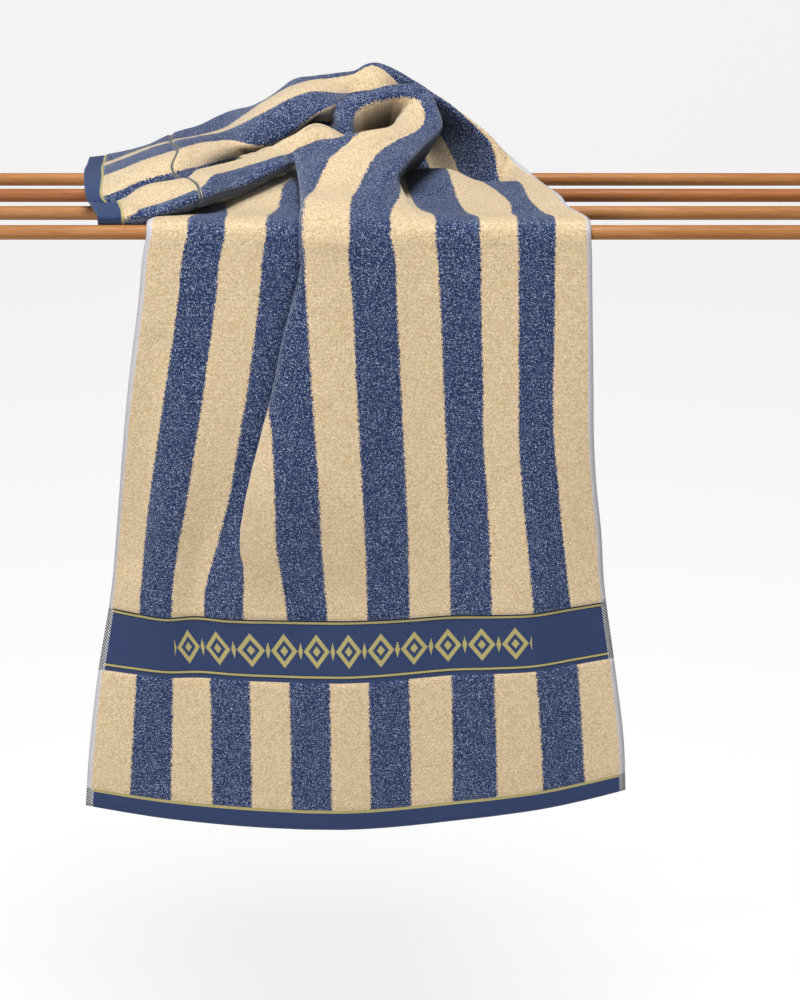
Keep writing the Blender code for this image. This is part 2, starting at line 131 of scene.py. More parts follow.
# The cloth above and behind the front rod.  One row for each section across the cloth, from the
# front rod to the far hem.  Its columns: where along the width the root and the tip of the pleat
# lie, the radius of their bends, where along the width the lobe lies, and the points that the
# section passes through: left selvedge, root, tip, lobe (the roll's lower front), hollow behind
# it, stripe edge 7, crest, stripe edges 8 to 12 and right selvedge.
SECTION_POINTS = ("left", "root", "tip", "lobe", "hollow", "edge_7", "crest",
                  "edge_8", "edge_9", "edge_10", "edge_11", "edge_12", "right")
SECTIONS = (
    ("low slope", 170, 216, 3.2, 231,
     ((-190, 40, 7), (-48, 42, 15), (-82, 40, 24), (-70, 40, 28), (-53, 40, 30),
      (-35, 40, 27), (-18, 40, 30), (-1, 41, 22), (16, 42, 9),
      (57, 41, 6), (94, 41, 6), (120, 41, 7), (142, 40, 13))),
    ("high slope", 150, 200, 3.5, 231,
     ((-205, 80, 9), (-64, 88, 31), (-86, 77, 36), (-60, 76, 44), (-43, 77, 46),
      (-24, 78, 44), (8, 80, 48), (-2, 98, 30), (9, 83, 11),
      (50, 83, 9), (93, 83, 9), (112, 83, 10), (138, 80, 15))),
    ("third rod", 125, 197, 4, 231,
     ((-203, 120, 8), (-84, 124, 37), (-88, 91, 42), (-45, 98, 55), (-26, 101, 57),
      (-8, 107, 54), (19, 113, 54), (10, 146, 31), (2, 158, 22),
      (41, 168, 22), (72, 166, 11), (106, 160, 12), (126, 150, 15))),
    ("foot", 105, 197, 4, 231,
     ((-206, 146, 9), (-104, 140, 38), (-88, 95, 43), (-30, 116, 63), (-4, 132, 64),
      (20, 150, 64), (36, 158, 64), (22, 186, 35), (4, 218, 8),
      (34, 212, 5), (60, 204, 5), (92, 192, 8), (108, 203, 24))),
    ("wall", 85, 200, 4, 231,
     ((-212, 165, 7), (-122, 150, 37), (-89, 98, 43), (-6, 136, 54), (-2, 165, 67),
      (18, 173, 82), (26, 178, 83), (29, 186, 82), (6, 216, 52),
      (14, 246, 38), (40, 232, 42), (79, 212, 46), (90, 222, 32))),
    ("peak", 65, 202, 4, 231,
     ((-220, 178, 10), (-138, 159, 29), (-90, 99, 43), (-18, 146, 54), (-14, 190, 41),
      (-11, 173, 86), (-11, 180, 90), (-11, 188, 93), (-10, 203, 80),
      (-14, 209, 86), (-20, 222, 106), (-12, 234, 103), (-8, 242, 70))),
    ("limb", 48, 204, 4, 231,
     ((-230, 186, 10), (-156, 167, 23), (-92, 99, 42), (-39, 138, 56), (-38, 168, 38),
      (-41, 162, 74), (-51, 167, 81), (-61, 170, 76), (-53, 190, 81),
      (-48, 202, 86), (-44, 215, 100), (-44, 228, 98), (-42, 240, 66))),
    ("dip", 41, 206, 4, 231,
     ((-236, 189, 10), (-166, 171, 20), (-93, 98, 41), (-52, 130, 55), (-47, 139, 51),
      (-44, 146, 56), (-54, 152, 61), (-60, 168, 64), (-61, 162, 81),
      (-60, 182, 88), (-60, 206, 98), (-60, 224, 97), (-57, 236, 60))),
    ("ridge", 34, 206, 4, 231,
     ((-240, 191, 10), (-176, 175, 18), (-95, 97, 41), (-70, 127, 54), (-70, 134, 62),
      (-72, 140, 68), (-74, 172, 42), (-75, 170, 68), (-76, 151, 75),
      (-77, 168, 91), (-78, 198, 97), (-78, 219, 95), (-75, 232, 55))),
    ("shoulder", 29, 206, 4, 231,
     ((-245, 193, 10), (-188, 178, 17), (-98, 91, 41), (-90, 112, 45), (-91, 121, 52),
      (-94, 129, 59), (-95, 164, 34), (-95, 174, 54), (-95, 155, 60),
      (-95, 167, 86), (-97, 199, 92), (-97, 221, 92), (-97, 237, 50))),
    ("middle of the roll", 24, 206, 4, 231,
     ((-250, 195, 10), (-200, 182, 16), (-101, 84, 41), (-107, 98, 43), (-112, 116, 45),
      (-114, 130, 46), (-118, 158, 27), (-118, 170, 42), (-115, 155, 49),
      (-115, 166, 76), (-118, 200, 81), (-119, 224, 74), (-118, 242, 34))),
    ("lobes part", 16, 206, 4, 231,
     ((-258, 203, 10), (-224, 190, 15), (-137, 54, 28), (-144, 74, 36), (-153, 92, 36),
      (-159, 108, 35), (-161, 134, 25), (-159, 132, 38), (-156, 146, 51),
      (-159, 176, 54), (-162, 200, 53), (-163, 238, 60), (-163, 241, 0))),
    ("wrist", 14, 205, 3.8, 231,
     ((-264, 203, 10), (-236, 191, 14), (-149, 37, 28), (-157, 50, 36), (-165, 68, 36),
      (-173, 86, 35), (-171, 99, 27), (-176, 98, 37), (-175, 124, 52),
      (-179, 161, 52), (-182, 189, 49), (-184, 221, 53), (-187, 240, 18))),
    ("far line", 12, 207, 3.5, 231,
     ((-269, 204, 10), (-248, 193, 14), (-163, 20, 26), (-165, 30, 29), (-170, 46, 32),
      (-179, 62, 33), (-180, 72, 25), (-192, 74, 36), (-191, 102, 50),
      (-200, 138, 51), (-205, 170, 47), (-208, 204, 48), (-208, 224, 26))),
    ("half way", 11, 219, 3.2, 240,
     ((-275, 204, 9), (-257, 193, 14), (-202, 8, 14), (-206, 20, 16), (-211, 34, 24),
      (-214, 48, 28), (-212, 58, 18), (-219, 64, 30), (-220, 92, 42),
      (-225, 130, 44), (-230, 162, 41), (-233, 196, 38), (-238, 215, 24))),
    ("far hem's seam", 10, 232, 3, 250,
     ((-281, 203, 9), (-265, 194, 13), (-226, 2, 12), (-229, 14, 17), (-232, 24, 19),
      (-237, 36, 17), (-244, 42, 15), (-250, 48, 19), (-254, 84, 30),
      (-260, 122, 32), (-265, 160, 29), (-268, 192, 31), (-270, 208, 22))),
    ("far hem", 10, 232, 3, 250,
     ((-285, 203, 9), (-279, 194, 13), (-248, 2, 11), (-252, 14, 14), (-256, 24, 17),
      (-259, 36, 17), (-260, 42, 15), (-264, 48, 19), (-271, 82, 25),
      (-277, 120, 29), (-281, 158, 28), (-284, 192, 29), (-286, 208, 22))),
)

# The twenty columns of a row: UNDER of them hidden, then those round the pleat's root and tip,
# and from OUTER on the cloth that lies on top.
UNDER = 4
OUTER = 9
LOBE_GAP = 4           # least distance across the cloth from the tip's bend to the lobe
PANEL_LOBE = 240       # where the lobe's column lies on the panel

# Where between the left selvedge and the pleat's root the hidden columns of a section lie.
UNDER_SHARES = (0, 0.2, 0.35, 0.7)

# How many times LAYER each column of the closed pleat lies in front of the cloth beside it.
PLEAT_STACK = (0, 0, 0, 0, 0, 1, 2, 2, 3, 4, 4.1, 3.95, 3.7, 2.5, 1.3, 0.3, 0, 0, 0, 0)

# Soft ridges and troughs.  One row a crease: from one place across and along the cloth to
# another, its half width, and its height out of the cloth (troughs below 0).
CREASES = (
    (222, 440, 222, 530, 9, -2.0),
    (206, 330, 208, 520, 7, 1.0),
    (60, 300, 62, 420, 16, 3.0),
    (24, 260, 26, 460, 14, -2.5),
    (235, 668, 265, 758, 7, 1.6),
    (246, 640, 252, 590, 10, -1.0),
    (253, 880, 262, 850, 5, -3.0),
    (262, 958, 262, 905, 9, -3.0),
)

# Fine grid: parts of each gap between columns, and the distance between rows (mm)
COLUMN_STEPS = (8, 6, 6, 6, 6, 6, 16, 6, 6, 2, 5, 5, 5, 5, 9, 9, 9, 9, 9)
ROW_STEP = 3.6

# Painted shade, darkening the pile's colour in its folds: every how many points it is worked out, the
# rays for each point, how far in front of the cloth they start and how far they reach (mm), the open
# share of them at which the shade is deepest and at which it ends, and what it leaves of the colour
SHADE_STEP = 2
SHADE_RAYS = 24
SHADE_START = 4
SHADE_REACH = 160
SHADE_SHUT = 0.15
SHADE_OPEN = 0.70
SHADE_DEEPEST = 0.12
GOLDEN_TURN = pi * (3 - 5 ** 0.5)

# Pile (mm): its loops, how far they sway, how far they break up a stripe's edge, its rows
LARGE_LOOP = 1.5
SMALL_LOOP = 0.9
LOOP_SWAY = 1.2
RAGGED = 1.2
LOOP_ROW = 3.6

# Flat weave (mm): its ribs, one stitch of its pattern, the soft edge of a line
FLAT_RIB = 2.1
SELVEDGE_RIB = 1.2
STITCH = 0.7
LINE_SOFT = 0.2

# Check beside the border and the hems (mm): its width, one square, its soft ends
CHECK_WIDTH = 6.0
CHECK = 1.5
CHECK_SOFT = 0.4

# Chain of lozenges on the border (mm)
LOZENGES = 11
LOZENGE_REPEAT = 31.0
LOZENGE_HALF_WIDE = 12.5
LOZENGE_HALF_TALL = 16.5
BAR_HALF_WIDE = 2.2
BAR_HALF_TALL = 8.5

# Gold lines and dark strips of the flat weave: where each starts and ends along the cloth
GOLD_LINES = (
    (BAND_START + 4.2, BAND_START + 6.3),
    (BAND_END - 4.0, BAND_END - 1.9),
    (HEM, HEM_LINE + 0.5),
    (FAR_LINE_START + 0.1, FAR_LINE_START + 0.7),
    (FAR_LINE_END - 0.7, FAR_LINE_END - 0.1),
    (FAR_HEM_START - 3, FAR_HEM_START + 1.5),
)
DARK_STRIPS = (
    (BAND_START + 2.8, BAND_START + 7.2),
    (BAND_END - 4.9, BAND_END),
)

# Colours (linear)
BLACK = (0.0, 0.0, 0.0)
CREAM_LIGHT = (0.96, 0.80, 0.56)
# CREAM_DEEP is the cream down between the loops: painted shade, mixed with the cream's random darker tone
CREAM_DEEP = (0.55, 0.36, 0.16)
BLUE_DARK = (0.005, 0.011, 0.045)
BLUE_MID = (0.022, 0.048, 0.165)
BLUE_PALE = (0.42, 0.50, 0.68)
NAVY = (0.032, 0.060, 0.165)
NAVY_DEEP = (0.008, 0.016, 0.055)
NAVY_LINE = (0.006, 0.010, 0.026)
GOLD = (0.52, 0.45, 0.17)
GOLD_DEEP = (0.33, 0.28, 0.11)
EDGE_WHITE = (0.70, 0.68, 0.72)
EDGE_GREY = (0.55, 0.52, 0.55)
CHECK_WHITE = (0.62, 0.62, 0.62)
WOOD_TONES = {
    "front_rod": ((0.47, 0.215, 0.072), (0.31, 0.115, 0.028)),
    "second_rod": ((0.51, 0.24, 0.085), (0.34, 0.13, 0.034)),
    "third_rod": ((0.42, 0.155, 0.048), (0.28, 0.085, 0.020)),
    "back_rod": ((0.51, 0.225, 0.070), (0.34, 0.125, 0.030)),
}

# Studio (m): one sheet of paper, its brightness to the camera and to the object, and the world's
FLOOR_Z = -0.95
BACKDROP_SIZE = 14.0
BACKDROP_Y = -1.6
BACKDROP_HEIGHT = 7.0
COVE_WIDTH = 1.2
BACKDROP_GLOW = 0.81
BACKDROP_LIGHT = 0.22
WORLD_LIGHT = 0.12

# Lights: name, place, what it points at, size and power in watts.  The key light hangs above
# and a little in front, the fill light stands low in front on the left.
LIGHTS = (
    ("key_light", (0.0, -0.6, 2.4), (0.0, 0.05, -0.1), (0.9, 0.7), 82.0),
    ("fill_light", (-1.1, -2.9, -0.35), (0.0, 0.0, -0.40), (1.5, 1.5), 64.0),
)

# Camera: place (m), degrees that it looks down, lens and sensor width (mm)
CAMERA_PLACE = (0.0, -1.464, 0.299)
CAMERA_DOWN = 20
CAMERA_LENS = 64.8
CAMERA_SENSOR = 36.0


def smooth_curve(knots, points, at):
    """Read a smooth curve through points, which lie at uneven knots, at the values in at."""
    gap = np.diff(knots)[:, None]
    slope = np.diff(points, axis=0) / gap
    lean = np.empty_like(points)
    lean[0], lean[-1] = slope[0], slope[-1]
    lean[1:-1] = (slope[:-1] * gap[1:] + slope[1:] * gap[:-1]) / (gap[1:] + gap[:-1])
    i = np.clip(np.searchsorted(knots, at, side="right") - 1, 0, len(knots) - 2)
    h = gap[i]
    s = (at - knots[i])[:, None] / h
    return ((1 + 2 * s) * (1 - s) ** 2 * points[i] + s * (1 - s) ** 2 * h * lean[i]
            + s * s * (3 - 2 * s) * points[i + 1] + s * s * (s - 1) * h * lean[i + 1])


def stripe_edge(number):
    """Distance of a stripe edge from the left selvedge, across the cloth."""
    return number * WIDTH / STRIPES


def pleat_columns(root, tip, bend, lobe):
    """Distances from the left selvedge of the twenty columns that carry the shape."""
    half = bend * pi / 2
    inner = max(root - half, 0.6 * root)
    under = [share * inner / UNDER for share in range(UNDER)]
    lobe = max(lobe, tip + half + LOBE_GAP)
    folds = [inner, root, root + half, tip - half, tip, tip + half, lobe]
    hollow = (lobe + stripe_edge(7)) / 2
    crest = (stripe_edge(7) + stripe_edge(8)) / 2
    over = [hollow, stripe_edge(7), crest] + [stripe_edge(k) for k in range(8, STRIPES + 1)]
    return np.array(under + folds + over)


def panel_level(height, across):
    """Z of the hanging cloth at a height above the near hem: its hem hangs lowest midway."""
    table = np.array(LEVELS, float)
    left, middle, right = (np.interp(height, table[:, 0], table[:, k]) for k in (1, 2, 3))
    s = across / WIDTH
    return left * (1 - s) * (1 - 2 * s) + 4 * middle * s * (1 - s) + right * s * (2 * s - 1)


def panel_hollow(height, across):
    """How far back the hollows push the hanging cloth."""
    depth = np.zeros_like(across)
    for u, v, wide, tall, reach in HOLLOWS:
        depth += reach * np.exp(-((across - u) / wide) ** 2 - ((height - v) / tall) ** 2)
    return depth


def panel_section(row):
    """Columns of the hanging panel: their place across the cloth, X, Z and stacking height."""
    height, edges_x, root, tip, tip_x, closed = row
    across = pleat_columns(root, tip, LAYER, PANEL_LOBE)
    open_x = np.interp(across, [stripe_edge(k) for k in range(STRIPES + 1)], edges_x)
    root_x = tip_x + tip - root
    folded_x = open_x.copy()
    near_root, near_tip = root_x - LAYER, tip_x + LAYER
    folded_x[UNDER:OUTER + 1] = [near_root, root_x, near_root, near_tip, tip_x, near_tip]
    folded_x[UNDER - 1] = (open_x[UNDER - 2] + folded_x[UNDER]) / 2
    folded_x[OUTER + 1] = max(folded_x[OUTER] + 2 * LAYER, open_x[OUTER + 1])
    x = open_x * (1 - closed) + folded_x * closed
    return across, x, panel_level(height, across), np.array(PLEAT_STACK) * LAYER * closed


def roll_section(root_across, tip_across, bend, lobe_across, points):
    """Columns of a section behind the front rod, with a round bend at the root and the tip."""
    place = {name: np.array(point, float) for name, point in zip(SECTION_POINTS, points)}
    left, root, tip = place["left"], place["root"], place["tip"]
    out = root - tip
    out[2] = 0.0
    out *= bend / np.linalg.norm(out)
    up = np.array([0.0, 0.0, bend])
    low = root - out - up
    under = [left + (low - left) * share for share in UNDER_SHARES]
    folds = [low, root, root - out + up, tip + out - up, tip, tip + out + up]
    over = [place[name] for name in SECTION_POINTS[3:]]
    return pleat_columns(root_across, tip_across, bend, lobe_across), np.array(under + folds + over)


def panel_rows():
    """Rows of the hanging panel and of its bend over the front rod."""
    rows = []
    for row in PANEL:
        across, x, z, stack = panel_section(row)
        y = panel_hollow(row[0], across) - LIFT - stack
        rows.append((row[0], across, np.column_stack([x, y, z])))
    across, x, _, stack = panel_section(OVER_ROD)
    for turn in (0.0, pi / 4, pi / 2):
        y, z = -(LIFT + stack) * np.cos(turn), (LIFT + stack) * np.sin(turn)
        rows.append((FRONT_DROP + LIFT * turn, across, np.column_stack([x, y, z])))
    return rows


def control_rows():
    """All rows of columns from the near hem to the far hem: distance along the cloth, distances
    across it, and points in space.  Behind the front rod, the distance along the cloth grows
    with the run of its outer columns."""
    rows = panel_rows()
    last = len(rows) - 1
    for _, root, tip, bend, lobe, points in SECTIONS:
        rows.append((0.0, *roll_section(root, tip, bend, lobe, points)))
    along, across, points = (np.array(values) for values in zip(*rows))
    line = last + 1 + [section[0] for section in SECTIONS].index("far line")
    run = np.linalg.norm(np.diff(points[last:line + 1, OUTER:], axis=0), axis=2).mean(axis=1)
    share = np.cumsum(run) / run.sum()
    along[last + 1:line + 1] = along[last] + share * (FAR_LINE_START - along[last])
    along[line + 1:] = (FAR_LINE_START + FAR_HEM_START) / 2, FAR_HEM_START, LENGTH
    return along, across, points


def rest_on_rods(grid):
    """Lift the cloth off every rod."""
    y, z = grid[..., 1], grid[..., 2]
    for number in range(len(RODS)):
        away = y - number * ROD_PITCH
        reach = np.maximum(np.hypot(away, z), 0.001)
        scale = np.maximum(LIFT / reach, 1)
        y += away * (scale - 1)
        z *= scale
    return grid


def row_lengths():
    """Distances along the cloth of the fine rows, with rows on every woven border."""
    stops = [0.0]
    for border in (HEM, HEM_LINE, BAND_START, BAND_END, FAR_LINE_START, FAR_LINE_END, FAR_HEM_START):
        stops += [border - SOFTEN, border]
    stops += [BAND_START + SOFTEN, BAND_END + SOFTEN, FAR_LINE_END + SOFTEN, LENGTH - SOFTEN, LENGTH]
    stops = sorted(stops)
    lengths = [0.0]
    for low, high in zip(stops, stops[1:]):
        count = max(1, round((high - low) / ROW_STEP))
        lengths += [low + (high - low) * (k + 1) / count for k in range(count)]
    return np.array(lengths)


def add_creases(grid, across, along):
    """Push the soft ridges and troughs of the CREASES table out of the cloth and into it."""
    push = np.zeros_like(across)
    for start_u, start_v, end_u, end_v, wide, height in CREASES:
        run_u, run_v = end_u - start_u, end_v - start_v
        share = ((across - start_u) * run_u + (along - start_v) * run_v) / (run_u ** 2 + run_v ** 2)
        share = np.clip(share, 0, 1)
        away = np.hypot(across - start_u - share * run_u, along - start_v - share * run_v)
        push += height * np.exp(-(away / wide) ** 2)
    return grid + grid_normals(grid) * push[..., None]


def fine_cloth():
    """The cloth's middle surface, and the distances across and along the cloth at each point."""
    along, across, points = control_rows()
    run = np.linalg.norm(np.diff(points, axis=0), axis=2).mean(axis=1)
    knots = np.concatenate([[0.0], np.cumsum(run)])
    lengths = row_lengths()
    at = np.interp(lengths, along, knots)
    sections = smooth_curve(knots, points.reshape(len(knots), -1), at).reshape(len(at), -1, 3)
    widths = smooth_curve(knots, across, at)
    columns = [0.0]
    for gap, count in enumerate(COLUMN_STEPS):
        columns += [gap + (k + 1) / count for k in range(count)]
    grid = np.empty((len(at), len(columns), 3))
    place = np.empty((len(at), len(columns)))
    for j, (width, section) in enumerate(zip(widths, sections)):
        place[j] = np.interp(columns, np.arange(len(width)), width)
        place[j, 1] = min(SELVEDGE, place[j, 2] / 2)
        place[j, -2] = WIDTH - SELVEDGE
        grid[j] = smooth_curve(width, section, place[j])
    along = np.repeat(lengths[:, None], len(columns), axis=1)
    return rest_on_rods(add_creases(grid, place, along)), place, along


def between(value, low, high):
    """1 between two limits and 0 outside, running softly over SOFTEN outside each."""
    rise = np.clip((value - low) / SOFTEN + 1, 0, 1)
    fall = np.clip((high - value) / SOFTEN + 1, 0, 1)
    return rise * fall


def cloth_thickness(across, along):
    """Thickness of the cloth: full in the pile, thin in the flat weave and the selvedges."""
    thick = np.full_like(across, PILE_THICK)
    for low, high, thin in FLAT_STRETCHES:
        thick += (thin - PILE_THICK) * between(along, low, high)
    inward = np.minimum(across, WIDTH - across)
    return thick + (EDGE_THICK - thick) * between(inward, -1, SELVEDGE - SOFTEN)


def pile_lumps(across, along):
    """Slight unevenness of soft pile: two crossing patterns of soft swells, in mm."""
    sway_across, sway_along = 1.7 * np.sin(along / 23), 1.3 * np.sin(across / 31)
    wide = np.sin(across / 5.3 + sway_across) * np.sin(along / 6.1 + sway_along)
    fine = np.sin(across / 2.9 - along / 8.7) * np.sin(along / 3.7 + across / 11)
    return LUMP * (wide + 0.7 * fine)


def grid_normals(grid):
    """Unit normals of a grid of points."""
    normals = np.cross(np.gradient(grid, axis=1), np.gradient(grid, axis=0))
    return normals / np.linalg.norm(normals, axis=2, keepdims=True)


def quads(rows, columns):
    """The four corner numbers of every face of a grid."""
    corner = np.arange(rows * columns).reshape(rows, columns)
    return np.column_stack([corner[:-1, :-1].ravel(), corner[:-1, 1:].ravel(),
                            corner[1:, 1:].ravel(), corner[1:, :-1].ravel()])


def shade_rays():
    """Directions over the upper half of a ball, closest together at its top."""
    number = np.arange(SHADE_RAYS)
    tilt = np.sqrt((number + 0.5) / SHADE_RAYS)
    turn = number * GOLDEN_TURN
    return np.column_stack([tilt * np.cos(turn), tilt * np.sin(turn), np.sqrt(1 - tilt ** 2)])


def turned_to(rays, up):
    """Rays turned so that their top points along up."""
    side = np.cross(up, (0.0, 1.0, 0.0) if abs(up[1]) < 0.9 else (1.0, 0.0, 0.0))
    side /= np.linalg.norm(side)
    return rays @ np.array([side, np.cross(up, side), up])


def openness(grid, side):
    """How open one side of the cloth is at each point: 1 in the open, 0 shut in a fold."""
    rows, columns = grid.shape[:2]
    tree = BVHTree.FromPolygons(grid.reshape(-1, 3).tolist(), quads(rows, columns).tolist())
    normals = grid_normals(grid) * side
    some_rows = np.unique(np.append(np.arange(0, rows, SHADE_STEP), rows - 1))
    some_columns = np.unique(np.append(np.arange(0, columns, SHADE_STEP), columns - 1))
    rays = shade_rays()
    found = np.empty((len(some_rows), len(some_columns)))
    for i, row in enumerate(some_rows):
        for j, column in enumerate(some_columns):
            up = normals[row, column]
            start = Vector(grid[row, column] + up * SHADE_START)
            hits = [tree.ray_cast(start, Vector(ray), SHADE_REACH)[0] for ray in turned_to(rays, up)]
            found[i, j] = hits.count(None) / SHADE_RAYS
    wide = np.array([np.interp(np.arange(columns), some_columns, line) for line in found])
    return np.array([np.interp(np.arange(rows), some_rows, line) for line in wide.T]).T


def sheet_faces(rows, columns):
    """Faces of a closed sheet: its front, its back and the rim between them."""
    count = rows * columns
    front = quads(rows, columns)
    corner = np.arange(count).reshape(rows, columns)
    rim = np.concatenate([corner[0], corner[1:, -1], corner[-1, -2::-1], corner[-2:0:-1, 0]])
    after = np.roll(rim, -1)
    rim_faces = np.column_stack([after, rim, rim + count, after + count])
    return np.concatenate([front, front[:, ::-1] + count, rim_faces])


def face_finishes(middle):
    """Material number of each face by its place on the cloth: pile, flat weave or selvedge."""
    across, along = middle.T
    finish = np.zeros(len(middle), dtype=np.int32)
    for low, high, _ in FLAT_STRETCHES:
        finish[(along > low) & (along < high)] = 1
    finish[(across < SELVEDGE) | (across > WIDTH - SELVEDGE)] = 2
    return finish


def add_cloth_map(mesh, place):
    """Keep the distances across and along the cloth as the UV map that the weave follows."""
    corners = np.empty(len(mesh.loops), dtype=np.int32)
    mesh.loops.foreach_get("vertex_index", corners)
    mesh.uv_layers.new(name="cloth").uv.foreach_set("vector", place[corners].ravel())


def add_fold_shade(mesh, grid):
    """Keep a painted shade at each point, the share of colour left: SHADE_DEEPEST deep in a fold to 1."""
    light = np.concatenate([openness(grid, side).ravel() for side in (1, -1)])
    light = np.clip((light - SHADE_SHUT) / (SHADE_OPEN - SHADE_SHUT), 0, 1)
    shade = mesh.attributes.new("fold_shade", "FLOAT", "POINT")
    shade.data.foreach_set("value", SHADE_DEEPEST + (1 - SHADE_DEEPEST) * light)


def build_towel():
    """The towel: one closed sheet, thick in its pile and thin in its flat weave."""
    grid, across, along = fine_cloth()
    thick = cloth_thickness(across, along)
    lumps = pile_lumps(across, along) * (thick > HEM_THICK)
    half = grid_normals(grid) * (thick / 2 + lumps)[..., None]
    points = np.concatenate([(grid + half).reshape(-1, 3), (grid - half).reshape(-1, 3)]) * MM
    faces = sheet_faces(*across.shape)
    mesh = bpy.data.meshes.new("towel_cloth")
    mesh.from_pydata(points.tolist(), [], faces.tolist())
    place = np.column_stack([np.tile(across.ravel(), 2), np.tile(along.ravel(), 2)])
    add_cloth_map(mesh, place * MM)
    for material in (terry_material(), flat_weave_material(), selvedge_material()):
        mesh.materials.append(material)
    mesh.polygons.foreach_set("material_index", face_finishes(place[faces].mean(axis=1)))
    add_fold_shade(mesh, grid)
    mesh.update()
    mesh.shade_smooth()
    towel = bpy.data.objects.new("towel_cloth", mesh)
    bpy.context.collection.objects.link(towel)
    return towel


class Nodes:
    """Short names for making and joining the nodes of one tree."""

    def __init__(self, tree):
        self.tree = tree

    def add(self, kind, inputs=None, **settings):
        """A node with its settings and input values; an output given as a value is linked."""
        node = self.tree.nodes.new(kind)
        for name, value in settings.items():
            setattr(node, name, value)
        for name, value in (inputs or {}).items():
            if isinstance(value, bpy.types.NodeSocket):
                self.tree.links.new(value, node.inputs[name])
            else:
                node.inputs[name].default_value = value
        return node

    def group(self, name, **inputs):
        """The outputs of a node group that is given its own values."""
        return self.add("ShaderNodeGroup", inputs, node_tree=bpy.data.node_groups[name]).outputs

    def noise(self, place, **inputs):
        """The value of a noise texture."""
        return self.add("ShaderNodeTexNoise", {"Vector": place, **inputs}).outputs["Fac"]

    def math(self, operation, *values):
        """The result of a Math node."""
        return self.add("ShaderNodeMath", dict(enumerate(values)), operation=operation).outputs[0]

    def vector(self, operation, *values):
        """The result of a Vector Math node."""
        return self.add("ShaderNodeVectorMath", dict(enumerate(values)), operation=operation).outputs[0]

    def parts(self, place):
        """The X, Y and Z of a place."""
        return self.add("ShaderNodeSeparateXYZ", {0: place}).outputs

    def blend(self, *terms):
        """The sum of several values, each times its own share."""
        total = 0.0
        for value, share in terms:
            total = self.math("MULTIPLY_ADD", value, share, total)
        return total

    def mix(self, factor, first, second):
        """A colour between two colours."""
        first, second = ((*c, 1.0) if isinstance(c, tuple) else c for c in (first, second))
        return self.add("ShaderNodeMix", {0: factor, 6: first, 7: second}, data_type="RGBA").outputs[2]

    def ramp(self, value, low, high):
        """0 below one value and 1 above another, smooth between."""
        node = self.add("ShaderNodeMapRange", {"Value": value, "From Min": low, "From Max": high},
                        interpolation_type="SMOOTHSTEP")
        return node.outputs["Result"]

    def inside(self, value, low, high, soft):
        """1 where a value lies between two limits."""
        return self.math("MULTIPLY", self.ramp(value, low - soft, low + soft),
                         self.math("SUBTRACT", 1.0, self.ramp(value, high - soft, high + soft)))

    def stretches(self, along, limits):
        """1 on the stretches along the cloth that a table gives in mm."""
        found = 0.0
        for low, high in limits:
            found = self.math("MAXIMUM", found, self.inside(along, low * MM, high * MM, LINE_SOFT * MM))
        return found


def new_group(name, inputs, outputs):
    """A node group with named sockets: its Nodes, its inputs and its end node."""
    tree = bpy.data.node_groups.new(name, "ShaderNodeTree")
    for label, kind in inputs.items():
        tree.interface.new_socket(name=label, in_out="INPUT", socket_type=kind)
    for label in outputs:
        tree.interface.new_socket(name=label, in_out="OUTPUT", socket_type="NodeSocketFloat")
    start = tree.nodes.new("NodeGroupInput")
    end = tree.nodes.new("NodeGroupOutput")
    return Nodes(tree), start.outputs, end


def finish_group(n, end, results):
    """Join a group's results to its outputs."""
    for label, value in results.items():
        n.tree.links.new(value, end.inputs[label])


def loops_group():
    """Terry loops: the height of the pile and a random value for each loop."""
    n, given, end = new_group(
        "terry_loops", {"Place": "NodeSocketVector", "Size": "NodeSocketFloat"}, ("Height", "Fleck"))
    sway = n.add("ShaderNodeTexNoise", {"Vector": given["Place"], "Scale": 420.0, "Detail": 2.0})
    shift = n.vector("SUBTRACT", sway.outputs["Color"], (0.5, 0.5, 0.5))
    moved = n.vector("MULTIPLY_ADD", shift, (LOOP_SWAY * MM,) * 3, given["Place"])
    count = n.math("DIVIDE", 1.0, given["Size"])
    scaled = n.add("ShaderNodeVectorMath", {0: moved, "Scale": count}, operation="SCALE").outputs[0]
    cells = n.add("ShaderNodeTexVoronoi", {"Vector": scaled, "Scale": 1.0, "Randomness": 1.0})
    height = n.math("SUBTRACT", 1.0, cells.outputs["Distance"])
    fleck = n.add("ShaderNodeSeparateColor", {"Color": cells.outputs["Color"]}).outputs[0]
    finish_group(n, end, {"Height": height, "Fleck": fleck})


def weave_group():
    """Flat weave: fine slanting ribs, as a height, and their uneven tone."""
    n, given, end = new_group(
        "flat_weave", {"Place": "NodeSocketVector", "Rib": "NodeSocketFloat"}, ("Height", "Tone"))
    across, along, _ = n.parts(given["Place"])
    turn = n.math("DIVIDE", 2 * pi, given["Rib"])
    slant = n.math("MULTIPLY", n.math("ADD", across, along), turn)
    cross = n.math("MULTIPLY", n.math("SUBTRACT", across, along), turn)
    ribs = n.math("MULTIPLY_ADD", n.math("SINE", slant), 0.5, 0.5)
    ticks = n.math("MULTIPLY_ADD", n.math("SINE", cross), 0.25, 0.25)
    height = n.blend((ribs, 0.6), (ticks, 1.0))
    patchy = n.noise(given["Place"], Scale=900.0, Detail=3.0)
    finish_group(n, end, {"Height": height, "Tone": n.blend((height, 0.5), (patchy, 0.5))})


